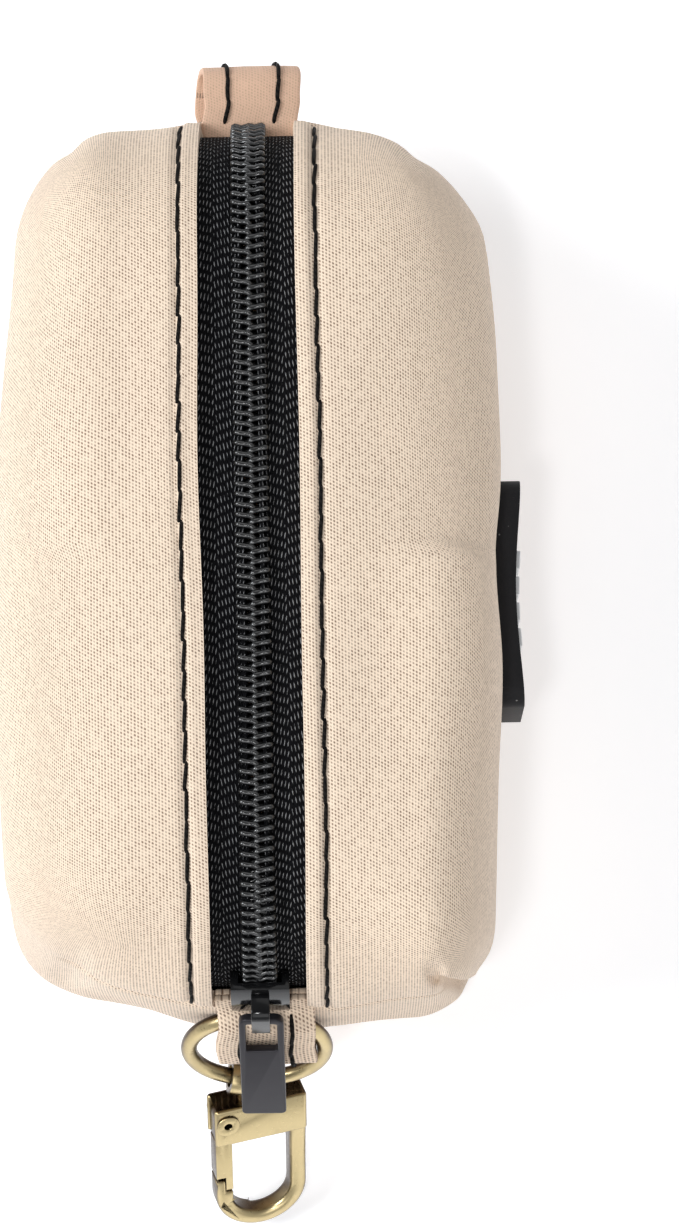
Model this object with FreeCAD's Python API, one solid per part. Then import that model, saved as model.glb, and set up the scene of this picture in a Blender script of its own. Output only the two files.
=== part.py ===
"""Small zipped fabric pouch with a hanging loop, a ring and a swivel trigger clasp.

Millimetres. X runs across the zip, Y along it (the clasp end is -Y), Z up.
The origin is the middle of the flat bottom that the pouch rests on.
"""
import FreeCAD, Part
import math
import os

Vector = FreeCAD.Vector

# pouch
length, width, height = 108.0, 60.0, 55.0
wall = 2.0                      # foam-backed woven fabric
near_radius, far_radius = 16.0, 20.0    # the zip wraps over both ends
shoulder_radius = 14.0          # long top edges
bottom_radius, corner_radius = 9.0, 10.0
seam_z = height - near_radius   # end seams, where the zip stops

# zip: one tape and one coil on each side of the middle
mouth_half = 5.65               # from the middle to the folded fabric edge
tape_inner, tape_outer, tape_depth, tape_thick = 0.85, 11.0, 2.05, 0.6
coil_inner, coil_outer, coil_top, coil_low = 0.05, 2.1, 0.35, 2.0
cord_inner, cord_outer, cord_top, cord_low = 0.9, 1.4, 0.9, 1.4
stitch_x, thread, stitch_proud, stitch_end = 8.1, 0.6, 0.35, 0.8

# fabric loops at both ends
strap_width, strap_thick = 12.0, 0.9
far_loop_reach, far_loop_gap, far_loop_z = 8.0, 4.6, 36.0
tab_x, tab_drop, tab_reach, tab_gap, tab_slope = 0.5, 1.0, 12.0, 3.0, 64.0
tab_seam_low, tab_seam_high = 1.2, 0.2   # below the end seam
strap_stitch_x, strap_stitch_proud = 3.1, 0.25
strap_tail, tab_tail = 3.0, 6.0 # inside the seams
seam_thread_reach, seam_thread_drop, seam_thread_clear = 18.0, 4.2, 0.3

# side patch
patch_y, patch_z, patch_long, patch_tall, patch_thick = -4.0, 26.0, 28.0, 20.0, 2.8
patch_corner, groove_corner, groove_inset, groove_wide, groove_deep = 2.5, 1.7, 1.5, 0.6, 0.4
bar_count, bar_pitch, bar_wide, bar_tall, bar_proud = 4, 3.2, 2.2, 8.0, 0.6

# ring and clasp
ring_x, ring_mean, wire = -0.75, 8.3, 1.0
ring_seat, ring_slope = 2.9, 66.7
eye_x = -2.8
eye_bore, eye_thick, eye_wide = 1.4, 0.8, 3.0
clasp_slope, clasp_heading, clasp_roll = 47.0, -0.4, 17.2
post_radius, post_head, post_head_high = 0.7, 1.0, 1.0
block_top, block_left, block_right, block_high, block_thick = 3.3, 4.1, 7.8, 5.9, 4.0
block_wall, block_floor, block_corner, gate_slot_end = 0.7, 1.0, 0.5, -0.4
collar_low, collar_high, collar_left = 0.7, 0.8, -1.0
hook_mid, hook_outer, hook_inner, hook_centre, hook_thick = 1.95, 5.85, 3.75, 15.6, 2.8
nose_top, nose_root, nose_wide = 12.6, 14.6, 1.1
notch_gap, tongue_gap = 0.45, 0.3       # room for the gate's ends to swing past the nose
pivot_x, pivot_down, gate_head, gate_thick, gate_arm = -2.5, 2.4, 1.3, 2.4, 1.9
spring_start, spring_half, spring_gap, spring_thick = 1.1, 0.9, 0.2, 0.3
pin_radius, pin_hole, pin_flange, pin_flange_high = 0.75, 0.5, 1.5, 0.3
running, side_play = 0.05, 0.1

# slider and pull
slider_angle, slider_long, slider_wide = 76.0, 7.6, 7.0
plate_thick, plate_gap, plate_joint, flange_thick = 1.0, 0.2, 0.1, 0.9
divider_half, divider_inset, divider_play = 0.5, 1.4, 0.12
bail_wide, bail_thick, bail_high, bail_back, bail_front = 2.2, 0.7, 2.8, 2.8, 3.7
bail_foot, bail_bend, foot_bend = 0.8, 1.2, 0.2
hinge_along, hinge_up = 2.2, 1.15
pull_slope, pull_long, pull_wide, pull_thick = 59.0, 20.0, 5.4, 1.1
pull_shoulder, pull_corner, window_corner = 1.2, 0.6, 0.4
window_wide, window_long, bar_deep = 3.8, 5.6, 1.0


def box(x0, x1, y0, y1, z0, z1):
    return Part.makeBox(x1 - x0, y1 - y0, z1 - z0, Vector(x0, y0, z0))


def rod(radius, long, start, direction):
    return Part.makeCylinder(radius, long, Vector(*start), Vector(*direction))


def fillet_along(shape, axis, radius_at):
    """Round the edges that run along an axis; radius_at gives each one's radius from its middle."""
    for edge in list(shape.Edges):
        ends = [v.Point for v in edge.Vertexes]
        run = (ends[1] - ends[0]).normalize()
        if abs(abs(run.dot(axis)) - 1) > 1e-6:
            continue
        middle = (ends[0] + ends[1]) * 0.5
        same = [e for e in shape.Edges if (e.CenterOfMass - middle).Length < 1e-6]
        shape = shape.makeFillet(radius_at(middle), same)
    return shape


def side_profile(depth):
    """The pouch seen from the side, moved in by depth from its outer face."""
    solid = box(-50, 50, depth - length / 2, length / 2 - depth, depth, height - depth)

    def radius_at(point):
        if point.z < height / 2:
            return bottom_radius - depth
        return (near_radius if point.y < 0 else far_radius) - depth
    return fillet_along(solid, Vector(1, 0, 0), radius_at)


def pouch_block(depth):
    """The whole pouch shape, moved in by depth: side, end and top profiles in common."""
    half_x, half_y = width / 2 - depth, length / 2 - depth
    end = box(-half_x, half_x, -half_y - 9, half_y + 9, depth, height - depth)
    end = fillet_along(end, Vector(0, 1, 0),
                       lambda p: (bottom_radius if p.z < height / 2 else shoulder_radius) - depth)
    top = box(-half_x, half_x, -half_y, half_y, -9, height + 9)
    top = fillet_along(top, Vector(0, 0, 1), lambda p: corner_radius - depth)
    return side_profile(depth).common(end).common(top)


def zip_strip(side, x0, x1, top, low, end_gap=0.3):
    """A strip that follows the zip over both ends, between two depths below the outer face."""
    band = side_profile(top).cut(side_profile(low))
    x_low, x_high = sorted((side * x0, side * x1))
    return band.common(box(x_low, x_high, -99, 99, seam_z + end_gap, 99))


def strap_loop(reach, gap, lift=0.0, half_x=strap_width / 2, tail=strap_tail, skin=strap_thick):
    """A strap folded back on itself along +Y, with its two layers at +Z and -Z."""
    inner = gap / 2 + lift
    outer = inner + skin
    turn = reach - gap / 2 - strap_thick

    def stadium(radius):
        body = box(-half_x, half_x, -tail, turn, -radius, radius)
        return body.fuse(rod(radius, 2 * half_x, (-half_x, turn, 0), (1, 0, 0)))
    return stadium(outer).cut(stadium(inner))


def strap_stitches(reach, gap):
    """Two rows of thread that stand a little proud of the strap's outer face."""
    rows = [strap_loop(reach, gap, strap_thick, thread / 2, 0.0, strap_stitch_proud)
            .translated(Vector(x, 0, 0)) for x in (-strap_stitch_x, strap_stitch_x)]
    return Part.makeCompound(rows)


def placed(shape, origin, x_axis, y_axis):
    """The shape moved from its own axes to x_axis, y_axis and their cross product at origin."""
    z_axis = x_axis.cross(y_axis)
    matrix = FreeCAD.Matrix(x_axis.x, y_axis.x, z_axis.x, origin.x,
                            x_axis.y, y_axis.y, z_axis.y, origin.y,
                            x_axis.z, y_axis.z, z_axis.z, origin.z, 0, 0, 0, 1)
    moved = shape.copy()
    moved.transformShape(matrix)
    return moved


def downhill(slope):
    """The direction out from the near end and down at a slope in degrees."""
    return Vector(0, -math.cos(math.radians(slope)), -math.sin(math.radians(slope)))


# places along the chain, from the seam to the clasp
across = Vector(1, 0, 0)
tab_root = Vector(tab_x, -length / 2, seam_z - tab_drop)
ring_top = tab_root + downhill(tab_slope) * ring_seat
ring_top.x = ring_x
ring_centre = ring_top + downhill(ring_slope) * ring_mean
eye_side = eye_x - ring_x
eye_down = math.sqrt(ring_mean ** 2 - eye_side ** 2)
eye = ring_centre + across * eye_side + downhill(ring_slope) * eye_down
eye_tangent = (across * eye_down - downhill(ring_slope) * eye_side) * (1 / ring_mean)

heading, roll = math.radians(clasp_heading), math.radians(clasp_roll)
level = math.cos(math.radians(clasp_slope))
clasp_down = Vector(level * math.sin(heading), -level * math.cos(heading),
                    -math.sin(math.radians(clasp_slope)))
clasp_level = Vector(math.cos(heading), math.sin(heading), 0)
clasp_across = clasp_level * math.cos(roll) - clasp_down.cross(clasp_level) * math.sin(roll)
clasp_back = clasp_across.cross(clasp_down)


def on_clasp(shape):
    """Place a shape drawn with X across the clasp, Y to its back and Z up its swivel axis."""
    return placed(shape, eye, clasp_across, clasp_back)


# the slider's own axes: X across, Y along the zip towards the near end, Z out of the zip
zip_centre = Vector(0, near_radius - length / 2, seam_z)
angle = math.radians(slider_angle)
slider_out = Vector(0, -math.sin(angle), math.cos(angle))
slider_along = Vector(0, -math.cos(angle), -math.sin(angle))
slider_top = near_radius - coil_top + plate_gap + plate_thick
pull_hinge = zip_centre + slider_out * (slider_top + hinge_up) + slider_along * hinge_along


def slider_arc(inner, outer, x0, x1, trim_front=0.0, trim_back=0.0):
    """A curved plate round the zip's bend, between two radii."""
    half = math.degrees(slider_long / 2 / near_radius)
    first, last = slider_angle - half + trim_back, slider_angle + half - trim_front
    ring = Part.makeCylinder(outer, x1 - x0, Vector(x0, 0, 0), across, last - first)
    ring = ring.cut(Part.makeCylinder(inner, x1 - x0, Vector(x0, 0, 0), across))
    ring.rotate(Vector(), across, turn_to_first(first))
    return ring.translated(zip_centre)


def turn_to_first(first):
    """The turn about X that brings a sector from its starting direction to the first angle."""
    probe = Part.makeCylinder(1.0, 1.0, Vector(), across, 1.0)
    middle = probe.CenterOfMass
    start = math.degrees(math.atan2(middle.z, middle.y)) - 0.5
    return 90 + first - start


def divider(grow=0.0):
    """The slider's wedge post, which parts the coils at its front end."""
    tape_low = near_radius - tape_depth - tape_thick - plate_gap
    post = rod(divider_half + grow, slider_top - tape_low + 2 * grow, (0, 0, 0), (0, 0, 1))
    start = tape_low - plate_thick / 2 - grow
    spot = zip_centre + slider_out * start + slider_along * (slider_long / 2 - divider_inset)
    return placed(post, spot, across, slider_along * -1)


def body_wrap():
    shell = pouch_block(0.0).cut(pouch_block(wall))
    shell = shell.cut(box(-mouth_half, mouth_half, -99, 99, seam_z, 99))
    return shell.cut(far_loop_solid())


def seam_thread(end):
    """The stitches that close an end, inside and below the zip, on both sides of the strap."""
    y0, y1 = sorted(end * (length / 2 - wall - d) for d in (running, thread))
    near_strap = strap_width / 2 + abs(tab_x) + seam_thread_clear
    z = seam_z - seam_thread_drop
    rows = [box(x0, x1, y0, y1, z - thread, z)
            for x0, x1 in ((-seam_thread_reach, -near_strap), (near_strap, seam_thread_reach))]
    return Part.makeCompound(rows)


def far_loop_place(shape):
    return shape.translated(Vector(0, length / 2, far_loop_z))


def tab_place(shape):
    return placed(shape, tab_root, across * -1, downhill(tab_slope))


def far_loop_solid():
    return far_loop_place(strap_loop(far_loop_reach, far_loop_gap))


def outside_near_wall(shape):
    """What lies outside the near wall and below the end seam."""
    return shape.common(box(-20, 20, -99, -length / 2, 0, seam_z - tab_seam_high))


def ring_tab_solid():
    """The ring's tab hangs from the end seam; its seam end is pressed flat against the wall."""
    loop = outside_near_wall(tab_place(strap_loop(tab_reach, tab_gap, tail=tab_tail)))
    seam_end = box(tab_x - strap_width / 2, tab_x + strap_width / 2,
                   loop_front(loop), -length / 2, seam_z - tab_seam_low, seam_z - tab_seam_high)
    return loop.fuse(seam_end).removeSplitter()


def loop_front(loop):
    """Where the tab's outer layer crosses the end seam."""
    top = loop.common(box(-20, 20, -99, 0, seam_z - tab_seam_high - 0.01, 99))
    return top.BoundBox.YMin


def side_patch():
    outline = box(0, patch_thick, -patch_long / 2, patch_long / 2, -patch_tall / 2, patch_tall / 2)
    outline = fillet_along(outline, across, lambda p: patch_corner)
    return patch_place(outline).cut(patch_stitching())


def patch_place(shape):
    return shape.translated(Vector(width / 2, patch_y, patch_z))


def patch_frame(inset):
    half_y, half_z = patch_long / 2 - inset, patch_tall / 2 - inset
    frame = box(patch_thick - groove_deep, patch_thick, -half_y, half_y, -half_z, half_z)
    return fillet_along(frame, across, lambda p: groove_corner + groove_inset - inset)


def patch_stitching():
    return patch_place(patch_frame(groove_inset).cut(patch_frame(groove_inset + groove_wide)))


def patch_bars():
    """Plain raised bars in a row; the real mark's outline isn't used."""
    first = -(bar_count - 1) / 2 * bar_pitch
    bars = [box(patch_thick, patch_thick + bar_proud, y - bar_wide / 2, y + bar_wide / 2,
                -bar_tall / 2, bar_tall / 2)
            for y in (first + n * bar_pitch for n in range(bar_count))]
    return patch_place(Part.makeCompound(bars))


def o_ring():
    ring = Part.makeTorus(ring_mean, wire)
    return placed(ring, ring_centre, across, downhill(ring_slope))


def swivel_eye():
    """A flat band round the ring's wire, on a headed post that turns in the clasp's block."""
    normal = eye_tangent
    start = eye - normal * (eye_wide / 2)
    band = rod(eye_bore + eye_thick, eye_wide, start, normal)
    post_start = eye_bore + eye_thick / 2
    head_top = block_top + collar_low + collar_high + side_play
    post = rod(post_radius, head_top - post_start, (0, 0, -post_start), (0, 0, -1))
    head = rod(post_head, post_head_high, (0, 0, -head_top), (0, 0, -1))
    return band.fuse(on_clasp(post.fuse(head))).cut(rod(eye_bore, eye_wide, start, normal))


def clasp_block():
    """A box open at the top, with a collar that holds the swivel post and a slot for the gate."""
    half = block_thick / 2
    top, low = -block_top, -block_top - block_high
    block = box(-block_left, block_right, -half, half, low, top)
    block = fillet_along(block, Vector(0, 0, 1), lambda p: block_corner)
    cavity_half = half - block_wall
    block = block.cut(box(-block_left + block_wall, block_right - block_wall,
                          -cavity_half, cavity_half, low + block_floor, top + 1))
    block = block.cut(box(-block_left - 1, gate_slot_end, -cavity_half, cavity_half, low - 1, top + 1))
    collar = box(collar_left, block_right - block_wall, -cavity_half, cavity_half,
                 top - collar_low - collar_high, top - collar_low)
    return block.fuse(collar).cut(rod(post_radius + running, 4, (0, 0, top), (0, 0, -1)))


def clasp_body():
    half = hook_thick / 2
    low, centre = -block_top - block_high, -block_top - hook_centre
    hook = box(hook_mid - hook_outer, hook_mid + hook_outer, -half, half, centre, low)
    hook = hook.fuse(rod(hook_outer, hook_thick, (hook_mid, -half, centre), (0, 1, 0)))
    hook = hook.cut(box(hook_mid - hook_inner, hook_mid + hook_inner, -9, 9, centre, low))
    hook = hook.cut(rod(hook_inner, 18, (hook_mid, -9, centre), (0, 1, 0)))
    edge = hook_mid - hook_outer
    hook = hook.cut(box(edge - 1, hook_mid, -9, 9, -block_top - nose_top, low + 1))
    hook = hook.cut(box(edge + nose_wide, hook_mid, -9, 9, -block_top - nose_root, low + 1))
    body = clasp_block().fuse(hook).removeSplitter()
    return on_clasp(body.cut(pin_shank(0)))


def pin_shank(play):
    return rod(pin_radius + play, 18, (pivot_x, -9, -block_top - pivot_down), (0, 1, 0))


def clasp_gate():
    """The sprung bar that closes the hook; its tongue rests inside the hook's nose."""
    half = gate_thick / 2
    pivot = -block_top - pivot_down
    edge = hook_mid - hook_outer
    inner = hook_mid - hook_inner
    head = rod(gate_head, gate_thick, (pivot_x, -half, pivot), (0, 1, 0))
    arm = box(pivot_x - gate_head, pivot_x - gate_head + gate_arm, -half, half,
              -block_top - block_high - 1, pivot)
    bar = box(edge, inner, -half, half, -block_top - nose_top + notch_gap, -block_top - block_high)
    tongue = box(edge + nose_wide + side_play, inner, -half, half,
                 -block_top - nose_root + tongue_gap, -block_top - nose_top + notch_gap)
    gate = head.fuse(arm).fuse(bar).fuse(tongue).removeSplitter()
    return on_clasp(gate.cut(pin_shank(running)))


def gate_pin():
    half = block_thick / 2
    centre = (pivot_x, -half - pin_flange_high, -block_top - pivot_down)
    shank = rod(pin_radius, block_thick + 2 * pin_flange_high, centre, (0, 1, 0))
    front = rod(pin_flange, pin_flange_high, centre, (0, 1, 0))
    back = front.translated(Vector(0, block_thick + pin_flange_high, 0))
    hole = rod(pin_hole, 18, (pivot_x, -9, -block_top - pivot_down), (0, 1, 0))
    return on_clasp(shank.fuse(front).fuse(back).cut(hole))


def gate_spring():
    """A leaf spring along the block's floor, with its free end at the gate's arm."""
    low = -block_top - block_high + block_floor + spring_gap
    return on_clasp(box(pivot_x + spring_start, block_right - block_wall,
                        -spring_half, spring_half, low, low + spring_thick))


def slider_body():
    """Two curved plates joined by the divider, with side flanges that guide the coils."""
    half = slider_wide / 2
    coil_face = near_radius - coil_top + plate_gap
    tape_face = near_radius - tape_depth - tape_thick - plate_gap
    top = slider_arc(coil_face, coil_face + plate_thick, -half, half)
    bottom = slider_arc(tape_face - plate_thick, tape_face, -half, half)
    guide_low = near_radius - tape_depth + plate_gap
    body = top.fuse(bottom).fuse(divider())
    for x0 in (-half, half - flange_thick):
        body = body.fuse(slider_arc(guide_low, coil_face + plate_joint, x0, x0 + flange_thick))
        body = body.fuse(slider_arc(tape_face - plate_joint, tape_face + plate_joint, x0, x0 + flange_thick))
    return body.removeSplitter()


def on_slider(shape):
    """Place a shape drawn with Y along the zip towards the far end and Z out of it."""
    return placed(shape, zip_centre + slider_out * slider_top, across, slider_along * -1)


def slider_bail():
    """The bent strap on the slider's back that the pull hangs from."""
    half = bail_wide / 2
    arch = box(-half, half, -bail_front, bail_back, -bail_foot, bail_high)
    arch = fillet_along(arch, across, lambda p: bail_bend if p.z > 0 else foot_bend)
    inner = box(-half, half, -bail_front + bail_thick, bail_back - bail_thick,
                -bail_foot - 1, bail_high - bail_thick)
    inner = fillet_along(inner, across, lambda p: bail_bend / 2 if p.z > 0 else foot_bend)
    return on_slider(arch.cut(inner)).cut(slider_body())


def pull_tab():
    """A flat pull with a window at its top; the bar above the window turns in the bail."""
    half = pull_wide / 2
    plate = box(-half, half, -bar_deep / 2, pull_long - bar_deep / 2, -pull_thick / 2, pull_thick / 2)
    plate = fillet_along(plate, Vector(0, 0, 1),
                         lambda p: pull_shoulder if p.y < window_long else pull_corner)
    window = box(-window_wide / 2, window_wide / 2, bar_deep / 2, bar_deep / 2 + window_long, -9, 9)
    plate = plate.cut(fillet_along(window, Vector(0, 0, 1), lambda p: window_corner))
    return placed(plate, pull_hinge, across * -1, downhill(pull_slope))


def zip_coil(side):
    coil = zip_strip(side, coil_inner, coil_outer, coil_top, coil_low)
    return coil.cut(zip_cord(side)).cut(divider(divider_play))


def zip_cord(side):
    return zip_strip(side, cord_inner, cord_outer, cord_top, cord_low)


def zip_tape(side):
    return zip_strip(side, tape_inner, tape_outer, tape_depth, tape_depth + tape_thick)


def topstitch(side):
    return zip_strip(side, stitch_x - thread / 2, stitch_x + thread / 2, -stitch_proud, 0.0, stitch_end)


nodes = {
    "body_wrap": body_wrap,
    "near_seam_thread": lambda: seam_thread(-1),
    "far_seam_thread": lambda: seam_thread(1),
    "far_loop": far_loop_solid,
    "far_loop_stitching": lambda: far_loop_place(strap_stitches(far_loop_reach, far_loop_gap)),
    "ring_tab": ring_tab_solid,
    "ring_tab_stitching": lambda: outside_near_wall(tab_place(strap_stitches(tab_reach, tab_gap))),
    "side_patch": side_patch,
    "patch_bars": patch_bars,
    "patch_stitching": patch_stitching,
    "o_ring": o_ring,
    "swivel_eye": swivel_eye,
    "clasp_body": clasp_body,
    "clasp_gate": clasp_gate,
    "gate_pin": gate_pin,
    "gate_spring": gate_spring,
    "slider_body": slider_body,
    "slider_bail": slider_bail,
    "pull_tab": pull_tab,
}
for name, side in (("left", -1), ("right", 1)):
    nodes[f"zip_tape_{name}"] = lambda side=side: zip_tape(side)
    nodes[f"zip_coil_{name}"] = lambda side=side: zip_coil(side)
    nodes[f"zip_cord_{name}"] = lambda side=side: zip_cord(side)
    nodes[f"topstitch_{name}"] = lambda side=side: topstitch(side)

os.makedirs("parts", exist_ok=True)
for node, make in nodes.items():
    shape = make()
    print(f"{node:20s} solids {len(shape.Solids)} valid {shape.isValid()} volume {shape.Volume:.1f}")
    shape.exportStep(f"parts/{node}.step")
for label, point in (("tab_root", tab_root), ("ring_top", ring_top), ("eye", eye),
                     ("eye_tangent", eye_tangent), ("clasp_down", clasp_down),
                     ("clasp_back", clasp_back), ("pull_hinge", pull_hinge),
                     ("gate_pivot", eye + clasp_across * pivot_x
                      + clasp_down * (block_top + pivot_down)), ("zip_centre", zip_centre)):
    print(label, [round(c, 3) for c in point])
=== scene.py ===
import math
import random

import bmesh
import bpy
from mathutils import Matrix, Vector, noise


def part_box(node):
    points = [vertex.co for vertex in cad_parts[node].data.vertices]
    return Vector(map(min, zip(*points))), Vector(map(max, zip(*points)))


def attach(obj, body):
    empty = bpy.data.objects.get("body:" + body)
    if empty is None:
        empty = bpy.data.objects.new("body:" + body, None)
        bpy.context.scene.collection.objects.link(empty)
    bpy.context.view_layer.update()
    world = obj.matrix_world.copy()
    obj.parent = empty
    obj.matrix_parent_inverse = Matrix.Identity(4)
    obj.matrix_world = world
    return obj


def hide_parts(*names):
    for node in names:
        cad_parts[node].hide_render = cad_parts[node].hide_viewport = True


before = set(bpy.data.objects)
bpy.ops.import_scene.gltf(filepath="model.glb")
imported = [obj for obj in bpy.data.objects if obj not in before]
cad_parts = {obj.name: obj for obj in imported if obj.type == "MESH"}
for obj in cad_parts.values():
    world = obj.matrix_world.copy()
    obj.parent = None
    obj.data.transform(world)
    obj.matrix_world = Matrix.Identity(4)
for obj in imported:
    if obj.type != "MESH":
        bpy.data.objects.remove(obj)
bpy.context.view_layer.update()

# --- Camera -----------------------------------------------------------------
# The pouch lies on a table, zip up, and is looked at from almost straight
# above, a little from the clasp's end, with the pouch left of the middle.
look_at = Vector((0.0102, -0.0072, 0.040))
camera_distance, camera_tilt, camera_roll = 0.68, 8.0, -0.95
camera_data = bpy.data.cameras.new("camera")
camera = bpy.data.objects.new("camera", camera_data)
bpy.context.scene.collection.objects.link(camera)
tilt = math.radians(camera_tilt)
camera.location = look_at + Vector((0, -math.sin(tilt), math.cos(tilt))) * camera_distance
camera.rotation_euler = (Matrix.Rotation(tilt, 4, "X")
                         @ Matrix.Rotation(math.radians(camera_roll), 4, "Z")).to_euler()
camera_data.sensor_fit = "VERTICAL"
camera_data.sensor_height = 36.0
picture_height = 0.1492             # what the frame's height covers at look_at
camera_data.lens = 36.0 * camera_distance / picture_height
camera_data.clip_start, camera_data.clip_end = 0.01, 20.0
bpy.context.scene.camera = camera


# --- Pouch ------------------------------------------------------------------
# One wrap of foam-backed plain-weave fabric. Its long edges are folded along
# the zip, its ends are closed by a seam across, and its corners are boxed.
def select_only(piece):
    bpy.ops.object.select_all(action="DESELECT")
    piece.select_set(True)
    bpy.context.view_layer.objects.active = piece


def edit(piece):
    """Open the piece for editing with everything selected."""
    select_only(piece)
    bpy.ops.object.mode_set(mode="EDIT")
    bpy.ops.mesh.select_mode(type="FACE")
    bpy.ops.mesh.select_all(action="SELECT")


def done():
    bpy.ops.object.mode_set(mode="OBJECT")


def pick_faces(piece, test):
    """In edit mode, select only the faces for which test holds."""
    bpy.ops.mesh.select_mode(type="FACE")
    bpy.ops.mesh.select_all(action="DESELECT")
    mesh = bmesh.from_edit_mesh(piece.data)
    for face in mesh.faces:
        face.select_set(test(face))
    bmesh.update_edit_mesh(piece.data)


def add_box(name, lo, hi):
    """A block between two corners, with its place in its mesh."""
    middle = [(a + b) / 2 for a, b in zip(lo, hi)]
    bpy.ops.object.select_all(action="DESELECT")
    bpy.ops.mesh.primitive_cube_add(size=1.0, calc_uvs=False, location=middle)
    piece = bpy.context.active_object
    piece.name = piece.data.name = name
    piece.scale = [b - a for a, b in zip(lo, hi)]
    bpy.ops.object.transform_apply(location=True, rotation=True, scale=True)
    return piece


def modifier(piece, kind, **settings):
    """Add a modifier, set it and apply it."""
    select_only(piece)
    added = piece.modifiers.new(kind.lower(), kind)
    for key, value in settings.items():
        setattr(added, key, value)
    bpy.ops.object.modifier_apply(modifier=added.name)


def smooth(piece, degrees=40):
    select_only(piece)
    bpy.ops.object.shade_smooth_by_angle(angle=math.radians(degrees))


def step(value, low, high):
    """0 below low, 1 above high, and a smooth rise between."""
    t = min(max((value - low) / (high - low), 0.0), 1.0)
    return t * t * (3 - 2 * t)


def bell(value, width):
    return math.exp(-(value / width) ** 2)


mm = 0.001
pouch_low, pouch_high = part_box("body_wrap")
half_x, half_y, top_z = pouch_high[0] / mm, pouch_high[1] / mm, pouch_high[2] / mm
near_bend, far_bend = 16.0, 20.0        # where the zip wraps over the ends
seam_z = top_z - near_bend
mouth, stitch_x = 5.65, 8.1             # half widths at the fold and at the topstitch
fabric_thick, low_round, top_round = 1.9, 10.0, 13.0


def fold_line(side, y):
    """How far the folded edge wanders from its straight line."""
    if side < 0:
        return 0.5 + 0.35 * math.sin(y / 17.0 + 0.6) + 0.12 * math.sin(y / 6.1)
    return 0.12 * math.sin(y / 21.0 + 2.0) + 0.08 * math.sin(y / 7.3)


# how far each top corner is rounded across and along, and how far its end draws back
corners = {(-1, 1): (13.0, 16.0, 1.7), (1, 1): (17.0, 18.0, 3.1),
           (-1, -1): (16.0, 15.0, 3.2), (1, -1): (9.5, 10.0, 1.1)}


def soft_shape(x, y, z):
    """Where a point of the plain box lies on the soft pouch, in millimetres."""
    side, end = (1 if x > 0 else -1), (1 if y > 0 else -1)
    corner_x, corner_y, crown = corners[side, end]
    bend = near_bend if y < 0 else far_bend
    rise = step(z, 12, 46)
    aside = step(abs(x), 9, 24)
    rx = low_round + (corner_x - low_round) * rise
    ry = low_round + (bend + (corner_y - bend) * aside - low_round) * rise
    toward_end = step(abs(y), 22, half_y - bend + 2)
    rz_top = top_round + (bend - top_round) * toward_end * (1 - 0.7 * aside)
    inner = (min(max(x, rx - half_x), half_x - rx), min(max(y, ry - half_y), half_y - ry),
             min(max(z, low_round), top_z - rz_top))
    radius = (rx, ry, rz_top if z > top_z / 2 else low_round)
    d = [(p - q) / r for p, q, r in zip((x, y, z), inner, radius)]
    size = math.sqrt(sum(c * c for c in d))
    normal = [c / size for c in d]
    px, py, pz = (q + r * n for q, r, n in zip(inner, radius, normal))

    out = step(abs(px), mouth, half_x)
    # plan outline: fullest near the middle, narrower at the ends, skewed under the zip
    full = (0.8 if side < 0 else 0.3) - 1.9 * step(py, 4, 46) - 1.4 * step(-py, 8, 50)
    px += side * full * step(abs(px), 12, half_x)
    px -= (0.25 + 0.9 * (-py / half_y)) * out
    # crowned ends
    endness = step(abs(py), half_y - 22, half_y)
    py -= end * crown * endness * step(abs(px), 4, 26)
    # the end panel bellies out below the seam, more to the patch's side
    belly = bell(pz - 24, 12) * step(abs(y), half_y - 6, half_y - 0.5)
    py += end * 2.4 * belly * bell(px - 1, 14)
    # the far end stands out a little beside the zip, and the near end's right side by its seam
    if end > 0:
        py += 0.6 * step(py, half_y - 18, half_y) * bell(px, 12)
    elif side > 0:
        py -= 0.8 * step(-py, half_y - 14, half_y) * step(px, 5.8, 9) * (1 - belly)
    # the top panels sag between the zip and the sides
    upness = step(normal[2], 0.35, 1.0)
    pz -= 0.55 * upness * step(abs(px), 8, 17) * (1 - 0.5 * toward_end)
    # the sides belly out low down
    px += side * 0.5 * bell(pz - 22, 14) * step(abs(x), half_x - 6, half_x)
    return [px, py, pz], normal, side, end


def seam_shape(point, normal, side, end):
    """Press the stitch rows, end seams, corner tucks and the patch's dent into the surface."""
    px, py, pz = point
    push = 0.0
    along_zip = pz > seam_z - 1.0
    if along_zip and abs(px) < 14:
        wander = fold_line(side, py) * bell(abs(px) - mouth, 4)
        off = abs(px) - wander
        push -= 0.42 * bell(off - stitch_x, 0.55)
        push += 0.22 * bell(off - 6.9, 0.8)
        px += side * wander * 0.8
    on_end = step(abs(py), half_y - 7, half_y - 3)
    tucked = side > 0 and end < 0
    seam = bell(pz - seam_z + 0.6, 0.9) * step(25.0 - abs(px), 0, 3) * step(abs(px), 5, 8)
    push -= 0.9 * seam * on_end
    if not tucked:
        push -= bell(abs(px) - 23.5, 2.0) * bell(pz - seam_z + 0.6, 1.5) * on_end
    # the vertical seams of the boxed corners
    corner = math.atan2(abs(normal[1]), abs(normal[0])) if abs(normal[2]) < 0.8 else 0
    ridge = bell(math.degrees(corner) - 62, 7) * step(pz, 14, 20) * (1 - step(pz, 45, 50))
    if not tucked:
        push -= 0.5 * ridge
    # the side wall is drawn in where the patch is sewn to it
    dent = bell(py + 2.5, 9) * bell(pz - 37, 9) * step(px, 20, 29)
    px -= 1.6 * dent
    # soft unevenness
    place = Vector((px, py, pz)) * 0.055
    push += 0.55 * (noise.noise(place + Vector((3.1, 7.7, 1.3)))) * step(abs(px), 9, 16)
    out = [p + n * push for p, n in zip((px, py, pz), normal)]
    out[2] = max(out[2], 0.03)
    return tuck_shape(*out) if tucked else out


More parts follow.
